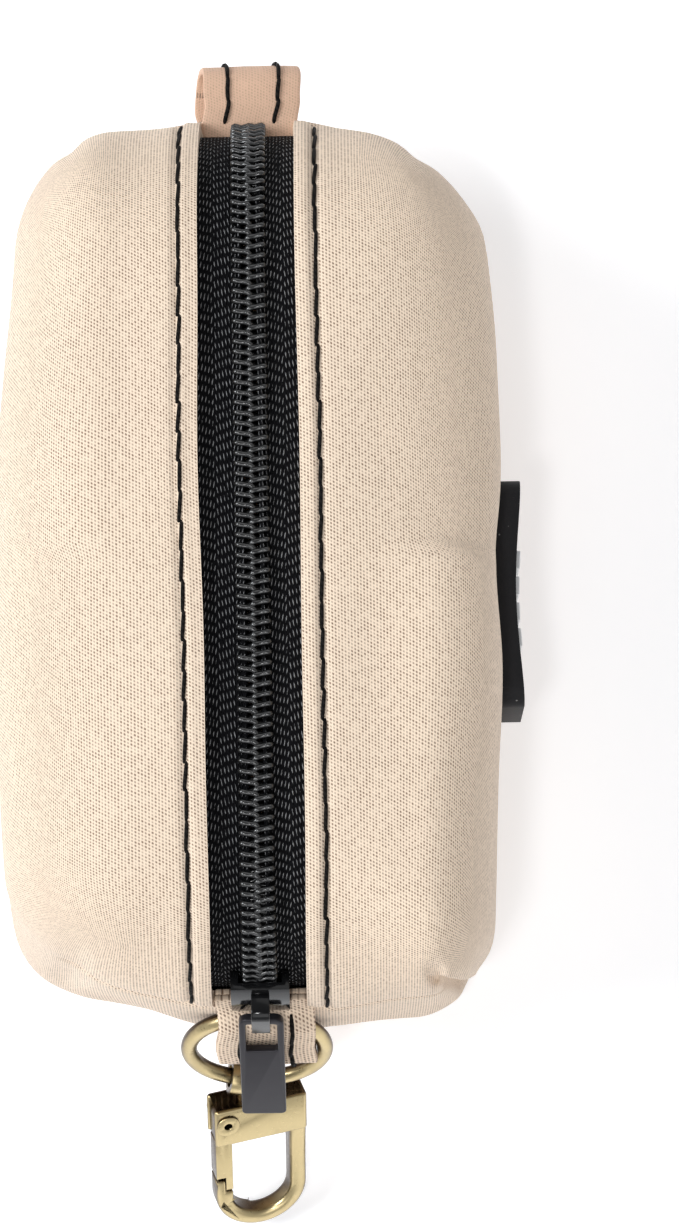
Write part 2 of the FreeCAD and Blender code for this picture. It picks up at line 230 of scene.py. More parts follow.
def tuck_shape(x, y, z):
    """At the near right corner the side panel folds squarely over the end panel."""
    fold_y, root_x = -51.5 + 0.10 * max(44 - z, 0), 20.8
    low = step(z, 5, 13)
    if y > fold_y:
        x -= 1.0 * bell(y - fold_y, 1.6) * step(x, 25, 28) * low
        y -= 0.5 * bell(y - fold_y, 1.6) * step(x, root_x, root_x + 2) * low
        z += 0.35 * bell(y - fold_y, 1.5) * step(x, root_x - 1, root_x + 0.8) * step(z, 36, 40)
    else:
        near = 1 - step(fold_y - y, 0.1, 4.2)
        x -= 3.0 * near * step(x, 20.5, 26.5) * low
        z -= 3.0 * near * step(x, root_x - 1.0, root_x + 0.5) * step(z, 30, 37)
        y += 0.5 * near * bell(y - fold_y, 0.8) * step(x, root_x - 0.5, root_x + 0.5)
    pit = bell(math.hypot(x - root_x, y - fold_y), 0.9) * step(z, 30, 37)
    return [x, y, z - 2.4 * pit]


bag = add_box("pouch_wrap", pouch_low, pouch_high)
edit(bag)
bpy.ops.mesh.subdivide(number_cuts=57)
for side in (-1, 1):
    for x in (mouth, 6.3, 6.9, 7.4, 7.8, stitch_x, 8.4, 8.9, 9.6):
        bpy.ops.mesh.select_all(action="SELECT")
        bpy.ops.mesh.bisect(plane_co=(side * x * mm, 0, 0), plane_no=(1, 0, 0))
for z in (seam_z - 2.4, seam_z - 1.6, seam_z - 1.1, seam_z - 0.6, seam_z, seam_z + 0.7):
    bpy.ops.mesh.select_all(action="SELECT")
    bpy.ops.mesh.bisect(plane_co=(0, 0, z * mm), plane_no=(0, 0, 1))
# finer round the tucked corner, and finer again along its fold
for in_tuck in (lambda x, y, z: x > 17 and y < -43 and z > 6,
                lambda x, y, z: x > 20 and y < -half_y + 1 and z > seam_z):
    pick_faces(bag, lambda f: in_tuck(*(f.calc_center_median() / mm)))
    bpy.ops.mesh.subdivide(number_cuts=1)
mesh = bmesh.from_edit_mesh(bag.data)
weave_uv = mesh.loops.layers.uv.new("weave")
for face in mesh.faces:
    normal = face.normal
    for loop in face.loops:
        x, y, z = loop.vert.co
        if abs(normal.z) > 0.5:
            loop[weave_uv].uv = (x, y)
        elif abs(normal.x) > 0.5:
            loop[weave_uv].uv = (math.copysign(half_x * mm + top_z * mm - z, x), y)
        else:
            loop[weave_uv].uv = (x, math.copysign(half_y * mm + top_z * mm - z, y))
slit = [f for f in mesh.faces if abs(f.calc_center_median().x) < mouth * mm
        and f.calc_center_median().z > seam_z * mm]
bmesh.ops.delete(mesh, geom=slit, context="FACES")
for vert in mesh.verts:
    vert.co = Vector(seam_shape(*soft_shape(*(c / mm for c in vert.co)))) * mm
bmesh.update_edit_mesh(bag.data)
done()
modifier(bag, "SOLIDIFY", thickness=fabric_thick * mm, offset=-1.0, use_rim=True)
modifier(bag, "BEVEL", width=0.75 * mm, segments=3, limit_method="ANGLE",
         angle_limit=math.radians(62))
smooth(bag, 55)


def node(tree, kind, inputs=None, **settings):
    """Add a shader node, set it, and link or set its inputs."""
    made = tree.nodes.new(kind)
    for key, value in settings.items():
        setattr(made, key, value)
    for key, value in (inputs or {}).items():
        if isinstance(value, bpy.types.NodeSocket):
            tree.links.new(value, made.inputs[key])
        else:
            made.inputs[key].default_value = value
    return made


def maths(tree, operation, a, b=0.0, clamp=False):
    made = node(tree, "ShaderNodeMath", {0: a, 1: b}, operation=operation)
    made.use_clamp = clamp
    return made.outputs[0]


def blend_colours(tree, factor, a, b, mode="MIX"):
    made = tree.nodes.new("ShaderNodeMix")
    made.data_type, made.blend_type = "RGBA", mode
    for socket, value in zip((made.inputs[0], made.inputs[6], made.inputs[7]), (factor, a, b)):
        if isinstance(value, bpy.types.NodeSocket):
            tree.links.new(value, socket)
        else:
            socket.default_value = value
    return made.outputs[2]


def new_material(name, **fixed):
    """A material with its shader; numbers that are the same all over are set on its sockets."""
    material = bpy.data.materials.new(name)
    material.use_nodes = True
    shader = material.node_tree.nodes["Principled BSDF"]
    for key, value in fixed.items():
        shader.inputs[key.replace("_", " ")].default_value = value
    return material, material.node_tree, shader


def wear(piece, material):
    piece.data.materials.clear()
    piece.data.materials.append(material)


def bump(tree, height, distance, strength=1.0):
    return node(tree, "ShaderNodeBump", {"Height": height, "Distance": distance,
                                         "Strength": strength}).outputs[0]


def plain_weave(name, light, dark, across, along, depth=0.04 * mm):
    """Over-and-under threads with painted shade in the dark gaps between them, deeper and darker in some gaps
    than others.
    """
    material, tree, shader = new_material(name, Roughness=0.85, Sheen_Weight=0.12,
                                          Sheen_Roughness=0.5, Specular_IOR_Level=0.2)
    where = node(tree, "ShaderNodeUVMap", uv_map="weave").outputs[0]
    parts = node(tree, "ShaderNodeSeparateXYZ", {0: where}).outputs
    column = maths(tree, "DIVIDE", parts[0], across)
    row = maths(tree, "ADD", maths(tree, "DIVIDE", parts[1], along),
                maths(tree, "MULTIPLY", column, 0.45))
    cell = node(tree, "ShaderNodeCombineXYZ", {0: maths(tree, "ROUND", column), 1: maths(tree, "ROUND", row)})
    uneven = node(tree, "ShaderNodeTexWhiteNoise", {"Vector": cell.outputs[0]}).outputs[0]
    shaded_gaps = None
    for phase in (column, row):
        wave = maths(tree, "COSINE", maths(tree, "MULTIPLY", phase, 2 * math.pi))
        wave = maths(tree, "MULTIPLY", maths(tree, "ADD", wave, 1.0), 0.5)
        shaded_gaps = wave if shaded_gaps is None else maths(tree, "MULTIPLY", shaded_gaps, wave)
    shaded_gaps = maths(tree, "MULTIPLY", shaded_gaps, maths(tree, "ADD", maths(tree, "MULTIPLY", uneven, 0.8), 0.6), True)
    cloud = node(tree, "ShaderNodeTexNoise", {"Vector": where, "Scale": 60.0, "Detail": 4.0}).outputs[0]
    slub = node(tree, "ShaderNodeTexNoise",
                {"Vector": node(tree, "ShaderNodeVectorMath", {0: where, 1: (120.0, 1500.0, 1.0)},
                                operation="MULTIPLY").outputs[0], "Scale": 1.0, "Detail": 2.0}).outputs[0]
    tint = blend_colours(tree, maths(tree, "MULTIPLY", maths(tree, "ADD", cloud, slub), 0.5),
                         (*[c * 0.93 for c in light], 1), (*[min(c * 1.07, 1) for c in light], 1))
    # painted shade: the gaps between the threads, which the bump sinks, are painted dark
    tree.links.new(blend_colours(tree, shaded_gaps, tint, (*dark, 1)), shader.inputs["Base Color"])
    height = maths(tree, "ADD", maths(tree, "MULTIPLY", shaded_gaps, -1.0), maths(tree, "MULTIPLY", slub, 0.3))
    tree.links.new(bump(tree, height, depth), shader.inputs["Normal"])
    return material


pouch_cloth = plain_weave("pouch_cloth", (0.86, 0.70, 0.55), (0.22, 0.14, 0.095),
                          across=0.39 * mm, along=0.43 * mm)
wear(bag, pouch_cloth)
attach(bag, "pouch")
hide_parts("body_wrap")


# --- Zip tapes and filler cords ---------------------------------------------
# Two woven twill tapes under the folded fabric edges. They wrap over both ends
# down to the end seams. A thin filler cord runs inside each coil.
tape_inner, tape_thick, cord_thick = 0.85, 0.6, 0.5
far_stretch = 1.06                      # how much further the zip stands out over the far end


def along_zip(name, x0, x1, top, low):
    """A strip of the zip, spun over the near end, run along the top and spun over the far end."""
    near_centre = Vector((0, (near_bend - half_y) * mm, seam_z * mm))
    far_centre = Vector((0, (half_y - far_bend) * mm, (top_z - far_bend) * mm))
    bpy.ops.object.select_all(action="DESELECT")
    bpy.ops.mesh.primitive_plane_add(size=1.0, calc_uvs=False, location=((x0 + x1) / 2 * mm, 0, 0))
    strip = bpy.context.active_object
    strip.name = strip.data.name = name
    strip.scale = ((x1 - x0) * mm, (low - top) * mm, 1)
    bpy.ops.object.transform_apply(location=True, rotation=True, scale=True)
    bpy.ops.object.mode_set(mode="EDIT")
    bpy.ops.mesh.select_all(action="SELECT")
    bpy.ops.transform.translate(value=(0, (-half_y + (top + low) / 2) * mm, (seam_z + 0.3) * mm))
    bpy.ops.mesh.spin(steps=16, angle=math.radians(90), center=near_centre, axis=(1, 0, 0))
    for _ in range(12):
        bpy.ops.mesh.extrude_region_move(
            TRANSFORM_OT_translate={"value": (0, (far_centre.y - near_centre.y) / 12, 0)})
    bpy.ops.mesh.spin(steps=14, angle=math.radians(77), center=far_centre, axis=(1, 0, 0))
    bpy.ops.mesh.select_all(action="SELECT")
    bpy.ops.mesh.normals_make_consistent(inside=False)
    bpy.ops.object.mode_set(mode="OBJECT")
    uv = strip.data.uv_layers.new(name="weave").data
    for loop in strip.data.loops:
        x, y, z = strip.data.vertices[loop.vertex_index].co
        if y < near_centre.y:
            run = near_centre.y - near_bend * mm * math.atan2(near_centre.y - y, z - near_centre.z)
        elif y > far_centre.y:
            run = far_centre.y + far_bend * mm * math.atan2(y - far_centre.y, z - far_centre.z)
        else:
            run = y
        uv[loop.index].uv = (x, run)
    for vert in strip.data.vertices:
        vert.co.y += (far_stretch - 1) * max(vert.co.y - far_centre.y, 0)
    return strip


def twill_material():
    """Herringbone: slanted ribs that change direction in narrow columns, painted grey on their crests
    (painted sheen) and near black in their grooves (painted shade).
    """
    material, tree, shader = new_material("zip_tape_twill", Roughness=0.8, Specular_IOR_Level=0.1)
    parts = node(tree, "ShaderNodeSeparateXYZ",
                 {0: node(tree, "ShaderNodeUVMap", uv_map="weave").outputs[0]}).outputs
    zigzag = maths(tree, "PINGPONG", parts[0], 2.1 * mm)
    ribs = maths(tree, "MULTIPLY", maths(tree, "ADD", parts[1], maths(tree, "MULTIPLY", zigzag, 2.6)),
                 2 * math.pi / (1.25 * mm))
    ribs = maths(tree, "SINE", ribs)
    ends = maths(tree, "SINE", maths(tree, "MULTIPLY", parts[0], 2 * math.pi / (0.42 * mm)))
    fluff = node(tree, "ShaderNodeTexNoise", {"Vector": node(tree, "ShaderNodeTexCoord").outputs["Object"],
                                              "Scale": 1700.0, "Detail": 2.0}).outputs[0]
    relief = maths(tree, "MULTIPLY", maths(tree, "ADD", ribs, 1.0), maths(tree, "ADD", ends, 1.2))
    relief = maths(tree, "MULTIPLY", relief, maths(tree, "MULTIPLY", maths(tree, "ADD", fluff, -0.1), 2.4))
    # painted light: the ribs' crests are painted grey as sheen, the grooves near black as shade
    shade = node(tree, "ShaderNodeValToRGB", {0: maths(tree, "MULTIPLY", relief, 0.23)})
    shade.color_ramp.elements[0].position, shade.color_ramp.elements[0].color = 0.45, (0.003, 0.003, 0.004, 1)
    shade.color_ramp.elements[1].position, shade.color_ramp.elements[1].color = 0.95, (0.38, 0.38, 0.39, 1)
    tree.links.new(shade.outputs[0], shader.inputs["Base Color"])
    tree.links.new(bump(tree, relief, 0.00012), shader.inputs["Normal"])
    return material


tape_cloth = twill_material()
for side, hand in ((-1, "left"), (1, "right")):
    low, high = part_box(f"zip_tape_{hand}")
    depth = top_z - high[2] / mm
    edges = sorted((side * tape_inner, (high if side > 0 else low)[0] / mm))
    strip = along_zip(f"tape_{hand}", *edges, depth, depth + tape_thick)
    modifier(strip, "BEVEL", width=0.15 * mm, segments=2, limit_method="ANGLE")
    smooth(strip)
    wear(strip, tape_cloth)
    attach(strip, "pouch")
    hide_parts(f"zip_tape_{hand}")
    cord_low, cord_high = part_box(f"zip_cord_{hand}")
    depth = top_z - cord_high[2] / mm
    filler = along_zip(f"filler_cord_{hand}", cord_low[0] / mm, cord_high[0] / mm, depth, depth + cord_thick)
    modifier(filler, "BEVEL", width=0.15 * mm, segments=3, limit_method="ANGLE")
    smooth(filler, 60)
    wear(filler, tape_cloth)
    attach(filler, "pouch")
    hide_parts(f"zip_cord_{hand}")


# --- Zip coils --------------------------------------------------------------
# Each coil is one nylon monofilament wound into flat loops round its cord. The
# two coils' heads interlock along the middle, half a turn apart.
def sweep(name, points, radius, sides=3, taper=None):
    """A round strand through the points, closed at its ends, as a mesh."""
    data = bpy.data.curves.new(name, "CURVE")
    data.dimensions, data.bevel_depth, data.bevel_resolution, data.use_fill_caps = "3D", radius, sides, True
    line = data.splines.new("POLY")
    line.points.add(len(points) - 1)
    for n, point in enumerate(points):
        line.points[n].co = (*point, 1)
        if taper:
            line.points[n].radius = taper(n / (len(points) - 1))
    strand = bpy.data.objects.new(name, data)
    bpy.context.scene.collection.objects.link(strand)
    select_only(strand)
    bpy.ops.object.convert(target="MESH")
    smooth(strand, 70)
    return strand


def zip_point(x, run, depth):
    """A point of the zip at a distance along it, below its outer face, in metres."""
    near_y, far_y = near_bend - half_y, half_y - far_bend
    if run < near_y:
        turn, radius = (near_y - run) / near_bend, near_bend - depth
        return Vector((x, near_y - radius * math.sin(turn), seam_z + radius * math.cos(turn))) * mm
    if run > far_y:
        turn, radius = (run - far_y) / far_bend, far_bend - depth
        y, z = far_y + far_stretch * radius * math.sin(turn), top_z - far_bend + radius * math.cos(turn)
        return Vector((x, y, z)) * mm
    return Vector((x, run, top_z - depth)) * mm


coil_pitch, wire_radius = 1.23, 0.36
coil_middle, coil_half, coil_depth, coil_rise, sewn_dip = 0.83, 1.02, 1.15, 0.62, 0.34
zip_start = near_bend - half_y - near_bend * math.radians(88)
zip_stop = half_y - far_bend + far_bend * math.radians(77)
nylon, nylon_tree, nylon_shader = new_material("coil_nylon", Roughness=0.25, Specular_IOR_Level=1.0)
nylon_where = node(nylon_tree, "ShaderNodeTexCoord").outputs["Object"]
nylon_cloud = node(nylon_tree, "ShaderNodeTexNoise", {"Vector": nylon_where, "Scale": 900.0}).outputs[0]
nylon_tree.links.new(blend_colours(nylon_tree, nylon_cloud, (0.003, 0.003, 0.003, 1),
                                   (0.010, 0.010, 0.011, 1)), nylon_shader.inputs["Base Color"])
steps_per_turn = 16
for side, hand, start in ((-1, "left", 0.0), (1, "right", coil_pitch / 2)):
    turns = int((zip_stop - zip_start - coil_pitch) / coil_pitch)
    points = []
    for n in range(turns * steps_per_turn):
        phase = 2 * math.pi * n / steps_per_turn
        across, deep = math.cos(phase), math.sin(phase)
        flat = abs(across) ** 0.75 * math.copysign(1, across)
        x = coil_middle - coil_half * flat
        depth = coil_depth - coil_rise * math.copysign(abs(deep) ** 0.45, deep)
        if deep > 0:                    # sewn down between its two raised turns
            depth += sewn_dip * bell(across, 0.5)
        lead = coil_pitch * (n / steps_per_turn + 0.10 * deep)
        points.append(zip_point(side * x, zip_start + start + lead, depth))
    coil = sweep(f"coil_{hand}", points, wire_radius * mm, 1)
    wear(coil, nylon)
    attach(coil, "pouch")
    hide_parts(f"zip_coil_{hand}")


# --- Topstitching -----------------------------------------------------------
# Thick black thread through the fabric beside each fold. Every stitch lies on
# the fabric and dives into a hole at each end.
def on_pouch(x, run):
    """A point of the pouch's outer face beside the zip, and the way out of it there."""
    if run < -half_y:
        place = (x, -half_y, top_z + (run + half_y))
    elif run > half_y:
        place = (x, half_y, top_z - (run - half_y))
    else:
        place = (x, run, top_z)
    shaped = soft_shape(*place)
    return Vector(seam_shape(*shaped)) * mm, Vector(shaped[1])


def measured(point_at, start, stop, count=600):
    """The line's points with the distance run at each."""
    line, run = [], 0.0
    for n in range(count + 1):
        point, out = point_at(start + (stop - start) * n / count)
        if line:
            run += (point - line[-1][1]).length
        line.append((run, point, out))
    return line


def at_run(line, run):
    for (r0, p0, n0), (r1, p1, n1) in zip(line, line[1:]):
        if r1 >= run:
            t = (run - r0) / max(r1 - r0, 1e-9)
            return p0.lerp(p1, t), n0.lerp(n1, t).normalized()
    return line[-1][1], line[-1][2]


def stitch_row(name, line, stitch, gap, radius, seed, sway=0.12, sink=0.45, lift=0.2):
    """Separate stitches along a line, with small differences in length and direction."""
    rng = random.Random(seed)
    pieces, run, total = [], gap * mm, line[-1][0]
    while run + stitch * mm < total:
        long = stitch * mm * rng.uniform(0.93, 1.07)
        a, b = (-sway + rng.uniform(0, sway)) * mm, (sway - rng.uniform(0, sway)) * mm
        points = []
        for t in (0.0, 0.05, 0.14, 0.3, 0.5, 0.7, 0.86, 0.95, 1.0):
            place, out = at_run(line, run + long * t)
            ahead, _ = at_run(line, run + long * t + 0.1 * mm)
            sideways = (ahead - place).cross(out).normalized()
            bow = math.sin(math.pi * t)
            height = (lift + radius) * min(1, bow * 2.2) - sink * (1 - min(1, bow * 3))
            points.append(place + out * height * mm + sideways * (a + (b - a) * t))
        pieces.append(sweep(f"{name}_{len(pieces)}", points, radius * mm, 1,
                            lambda t: 0.8 + 0.25 * math.sin(math.pi * t)))
        run += long + gap * mm
    return joined(pieces, name)


def joined(pieces, name):
    """The pieces as one, under a new name."""
    bpy.ops.object.select_all(action="DESELECT")
    for piece in pieces:
        piece.select_set(True)
    bpy.context.view_layer.objects.active = pieces[0]
    bpy.ops.object.join()
    pieces[0].name = pieces[0].data.name = name
    return pieces[0]


thread_black, thread_tree, thread_shader = new_material("thread_black", Roughness=0.7,
                                                        Specular_IOR_Level=0.08)
thread_where = node(thread_tree, "ShaderNodeTexCoord").outputs["Object"]
thread_twist = node(thread_tree, "ShaderNodeTexWave", {"Vector": thread_where, "Scale": 700.0,
                                                       "Distortion": 2.0}, bands_direction="DIAGONAL")
# painted sheen: the thread is painted a touch lighter along the raised bands of its twist
thread_tree.links.new(blend_colours(thread_tree, thread_twist.outputs[1], (0.003, 0.003, 0.003, 1),
                                    (0.014, 0.012, 0.011, 1)), thread_shader.inputs["Base Color"])
thread_tree.links.new(bump(thread_tree, thread_twist.outputs[1], 0.00008), thread_shader.inputs["Normal"])
row_end = 15.3                          # how far down the ends the rows go
for side, hand in ((-1, "left"), (1, "right")):
    line = measured(lambda run: on_pouch(side * stitch_x, run), -half_y - row_end, half_y + row_end)
    row = stitch_row(f"topstitch_thread_{hand}", line, stitch=3.75, gap=-0.25, radius=0.23,
                     seed=11 + side, sway=0.2, sink=0.12, lift=0.02)
    wear(row, thread_black)
    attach(row, "pouch")
    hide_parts(f"topstitch_{hand}")


# --- Straps -----------------------------------------------------------------
# The hanging loop and the ring's tab are the same strap, the pouch's fabric
# folded lengthwise and doubled back on itself, with two stitched rows. The
# hanging loop's copy of the cloth is darker and warmer: painted shade.
def strap(name, half_width, turn, tail, gap, thick):
    """A strap along +Y that folds round at turn; its layers lie at +Z and -Z, gap apart inside."""
    level = (gap + thick) / 2
    bpy.ops.object.select_all(action="DESELECT")
    bpy.ops.mesh.primitive_plane_add(size=1.0, calc_uvs=False,
                                     location=(0, (turn - tail) / 2 * mm, level * mm))
    piece = bpy.context.active_object
    piece.name = piece.data.name = name
    piece.scale = (2 * half_width * mm, (turn + tail) * mm, 1)
    bpy.ops.object.transform_apply(location=True, rotation=True, scale=True)
    bpy.ops.object.mode_set(mode="EDIT")
    bpy.ops.mesh.select_all(action="SELECT")
    bpy.ops.mesh.subdivide(number_cuts=11)
    bpy.ops.mesh.select_mode(type="EDGE")
    bpy.ops.mesh.select_all(action="DESELECT")
    mesh = bmesh.from_edit_mesh(piece.data)
    for edge in mesh.edges:
        edge.select = all(abs(v.co.y - turn * mm) < 1e-6 for v in edge.verts)
    bmesh.update_edit_mesh(piece.data)
    bpy.ops.mesh.spin(steps=12, angle=math.pi, center=(0, turn * mm, 0), axis=(1, 0, 0))
    for _ in range(12):
        bpy.ops.mesh.extrude_region_move(
            TRANSFORM_OT_translate={"value": (0, -(turn + tail) / 12 * mm, 0)})
    bpy.ops.object.mode_set(mode="OBJECT")
    uv = piece.data.uv_layers.new(name="weave").data
    for polygon in piece.data.polygons:
        below = polygon.center.z < 0 and polygon.center.y < turn * mm
        for index in polygon.loop_indices:
            x, y, z = piece.data.vertices[piece.data.loops[index].vertex_index].co
            if polygon.center.y > turn * mm:
                run = turn * mm + level * mm * math.atan2(y - turn * mm, z)
            else:
                run = (turn + level * math.pi + turn) * mm - y if below else y
            uv[index].uv = (x, run)
    return piece


def soften(point, turn, pinch, bow, seed, skew=0.0):
    """The layers close up at the seam, and the edges and the fold wander a little."""
    x, y, z = (c / mm for c in point)
    close = pinch + (1 - pinch) * step(y, -0.6, 2.6)
    z = z * close + bow * math.sin(x * 0.5 + seed) * step(y, 0, turn)
    z += 0.12 * noise.noise(Vector((x * 0.4, y * 0.5, seed)))
    x *= 1 - 0.03 * bell(y - 1.5, 2.5)
    x += skew * z * step(y, 0, 3) + 0.16 * math.sin(y * 0.7 + seed + (1.0 if z > 0 else 2.4))
    return Vector((x, y, z)) * mm


strap_cloth = plain_weave("strap_cloth", (0.86, 0.68, 0.52), (0.20, 0.12, 0.08),
                          across=0.46 * mm, along=0.50 * mm, depth=0.07 * mm)
# painted shade: the hanging loop's copy of the strap cloth is darker and warmer than the tab's
shaded_loop_cloth = plain_weave("shaded_loop_cloth", (0.66, 0.43, 0.31), (0.50, 0.35, 0.24),
                         across=0.36 * mm, along=0.36 * mm)
tab_root = Vector((0.5, -half_y, seam_z - 1.0)) * mm
tab_slope = math.radians(64.0)
strap_half, strap_thick, strap_tail, row_x = 6.0, 0.9, 2.5, 3.1
# each strap's place, reach, gap inside, closing at the seam, bow, seed, skew and cloth
strap_places = {
    "far_loop": (Matrix.Translation((0, half_y * mm, 36.0 * mm)), 8.0, 4.6, 1.0, 0.25, 0.9, 0.24, shaded_loop_cloth),
    "ring_tab": (Matrix.Translation(tab_root)
                 @ Matrix(((-1, 0, 0, 0), (0, -math.cos(tab_slope), -math.sin(tab_slope), 0),
                           (0, -math.sin(tab_slope), math.cos(tab_slope), 0), (0, 0, 0, 1))),
                 12.0, 3.3, 0.2, 0.10, 2.1, 0.0, strap_cloth),
}
for name, (place, reach, gap, pinch, bow, seed, skew, cloth) in strap_places.items():
    turn = reach - gap / 2 - strap_thick
    piece = strap(f"{name}_strap", strap_half, turn, strap_tail, gap, strap_thick)
    for vert in piece.data.vertices:
        vert.co = soften(vert.co, turn, pinch, bow, seed, skew)
    modifier(piece, "SOLIDIFY", thickness=strap_thick * mm, offset=0.0)
    modifier(piece, "BEVEL", width=0.28 * mm, segments=3, limit_method="ANGLE", angle_limit=math.radians(50))
    smooth(piece, 50)
    piece.data.transform(place)
    wear(piece, cloth)
    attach(piece, "pouch")
    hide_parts(name)

    def on_strap(x, run, gap=gap, turn=turn, pinch=pinch, bow=bow, seed=seed, skew=skew, place=place):
        """A point of the strap's outer face, at a distance round it, and the way out of it there."""
        outer = gap / 2 + strap_thick
        if run < turn:
            flat, out = Vector((x, run, outer)), Vector((0, 0, 1))
        elif run < turn + math.pi * outer:
            angle = (run - turn) / outer
            out = Vector((0, math.sin(angle), math.cos(angle)))
            flat = Vector((x, turn, 0)) + out * outer
        else:
            flat, out = Vector((x, 2 * turn + math.pi * outer - run, -outer)), Vector((0, 0, -1))
        return place @ soften(flat * mm, turn, pinch, bow, seed, skew), place.to_3x3() @ out

    rows = []
    for x in (-row_x, row_x):
        full = 2 * turn + math.pi * (gap / 2 + strap_thick)
        line = measured(lambda run: on_strap(x, run), 0.4, full - 0.6, 240)
        rows.append(stitch_row(f"{name}_row_{len(rows)}", line, stitch=3.0, gap=-0.2, radius=0.25,
                               seed=int(seed * 10 + x), sink=0.12, lift=0.0))
    thread = joined(rows, f"{name}_thread")
    wear(thread, thread_black)
    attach(thread, "pouch")
    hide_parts(f"{name}_stitching")


# --- End seam stitches ------------------------------------------------------
# The rows inside the pouch that close its two ends below the zip.
for end, name in ((-1, "near_seam_thread"), (1, "far_seam_thread")):
    low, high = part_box(name)
    rows = []
    for side in (-1, 1):
        def along_seam(run, side=side, y=(low.y + high.y) / 2, z=(low.z + high.z) / 2, end=end):
            return Vector((side * run, y / mm, z / mm)) * mm, Vector((0, -end, 0))
        line = measured(along_seam, 6.9, high.x / mm, 60)
        rows.append(stitch_row(f"{name}_{side}", line, stitch=2.4, gap=0.3, radius=0.25,
                               seed=5 + side, sink=0.2, lift=0.0))
    thread = joined(rows, f"{name}_stitches")
    wear(thread, thread_black)
    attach(thread, "pouch")
    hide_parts(name)


# --- Side patch -------------------------------------------------------------
# A moulded soft rubber patch, sewn through a groove near its edge. It takes
# the hollow of the side wall, and plain white bars stand on its face.
patch_low, patch_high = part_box("side_patch")
patch_middle, patch_half = (patch_low + patch_high) / 2, (patch_high - patch_low) / 2
patch_corner, groove_inset, groove_wide, groove_deep = 2.5 * mm, 1.5 * mm, 0.6 * mm, 0.4 * mm
groove_half_long, groove_half_tall, groove_bend = 12.2, 8.2, 1.4


def cupped(point):
    """The patch's middle is drawn in with the fabric behind it."""
    along = (point.y - patch_middle.y) / patch_half.y
    return Vector((point.x - 0.8 * mm * (1 - along ** 2) ** 2 - 0.2 * mm, point.y, point.z))


def pick_edges(piece, test):
    """In edit mode, select only the edges for which test holds."""
    bpy.ops.mesh.select_mode(type="EDGE")
    bpy.ops.mesh.select_all(action="DESELECT")
    mesh = bmesh.from_edit_mesh(piece.data)
    for edge in mesh.edges:
        edge.select_set(test(edge))
    bmesh.update_edit_mesh(piece.data)


patch = add_box("patch", patch_low, patch_high)
edit(patch)
pick_edges(patch, lambda e: abs((e.verts[0].co - e.verts[1].co).normalized().x) > 0.9)
bpy.ops.mesh.bevel(offset=patch_corner, segments=6, affect="EDGES")
pick_faces(patch, lambda f: f.normal.x > 0.9)
bpy.ops.mesh.inset(thickness=groove_inset)
bpy.ops.mesh.inset(thickness=groove_wide)
pick_faces(patch, lambda f: f.normal.x > 0.9 and groove_inset < min(
    patch_half.y - abs(f.calc_center_median().y - patch_middle.y),
    patch_half.z - abs(f.calc_center_median().z - patch_middle.z)) < groove_inset + groove_wide)
bpy.ops.mesh.extrude_region_move(TRANSFORM_OT_translate={"value": (-groove_deep, 0, 0)})
for n in range(1, 16):
    bpy.ops.mesh.select_all(action="SELECT")
    bpy.ops.mesh.bisect(plane_co=(0, patch_low.y + n * (patch_high.y - patch_low.y) / 16, 0),
                        plane_no=(0, 1, 0))
done()
for vert in patch.data.vertices:
    vert.co = cupped(vert.co)
modifier(patch, "BEVEL", width=0.22 * mm, segments=3, limit_method="ANGLE", angle_limit=math.radians(50))
smooth(patch, 40)
rubber, rubber_tree, rubber_shader = new_material("patch_rubber", Roughness=0.6, Specular_IOR_Level=0.2)
rubber_where = node(rubber_tree, "ShaderNodeTexCoord").outputs["Object"]
grain = node(rubber_tree, "ShaderNodeTexNoise",
             {"Vector": rubber_where, "Scale": 1800.0, "Detail": 3.0}).outputs[0]
dust = node(rubber_tree, "ShaderNodeTexVoronoi", {"Vector": rubber_where, "Scale": 620.0}).outputs[0]
dust_spot = node(rubber_tree, "ShaderNodeMapRange",
                 {0: dust, 1: 0.02, 2: 0.10, 3: 1.0, 4: 0.0}).outputs[0]
patchy = node(rubber_tree, "ShaderNodeTexNoise", {"Vector": rubber_where, "Scale": 420.0}).outputs[0]
dust_amount = maths(rubber_tree, "MULTIPLY", dust_spot,
                    maths(rubber_tree, "GREATER_THAN", patchy, 0.56))
rubber_tree.links.new(blend_colours(rubber_tree, dust_amount, (0.012, 0.012, 0.014, 1),
                                    (0.30, 0.30, 0.30, 1)), rubber_shader.inputs["Base Color"])
rubber_tree.links.new(bump(rubber_tree, grain, 0.00004), rubber_shader.inputs["Normal"])
wear(patch, rubber)
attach(patch, "pouch")
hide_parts("side_patch")

bars_low, bars_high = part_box("patch_bars")
bar_count, bar_wide = 4, 2.2 * mm
bar_pitch = (bars_high.y - bars_low.y - bar_wide) / (bar_count - 1)
bars = []
for n in range(bar_count):
    y = bars_low.y + n * bar_pitch
    bar = add_box(f"bar_{n}", (bars_low.x, y, bars_low.z), (bars_high.x, y + bar_wide, bars_high.z))
    modifier(bar, "BEVEL", width=0.15 * mm, segments=3)
    for vert in bar.data.vertices:
        vert.co = cupped(vert.co)
    bars.append(bar)
raised_bars = joined(bars, "raised_bars")
smooth(raised_bars)
white, white_tree, white_shader = new_material("patch_white", Roughness=0.5)
white_where = node(white_tree, "ShaderNodeTexCoord").outputs["Object"]
white_cloud = node(white_tree, "ShaderNodeTexNoise", {"Vector": white_where, "Scale": 700.0}).outputs[0]
white_tree.links.new(blend_colours(white_tree, white_cloud, (0.90, 0.90, 0.90, 1),
                                   (0.96, 0.96, 0.95, 1)), white_shader.inputs["Base Color"])
wear(raised_bars, white)
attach(raised_bars, "pouch")
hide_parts("patch_bars")


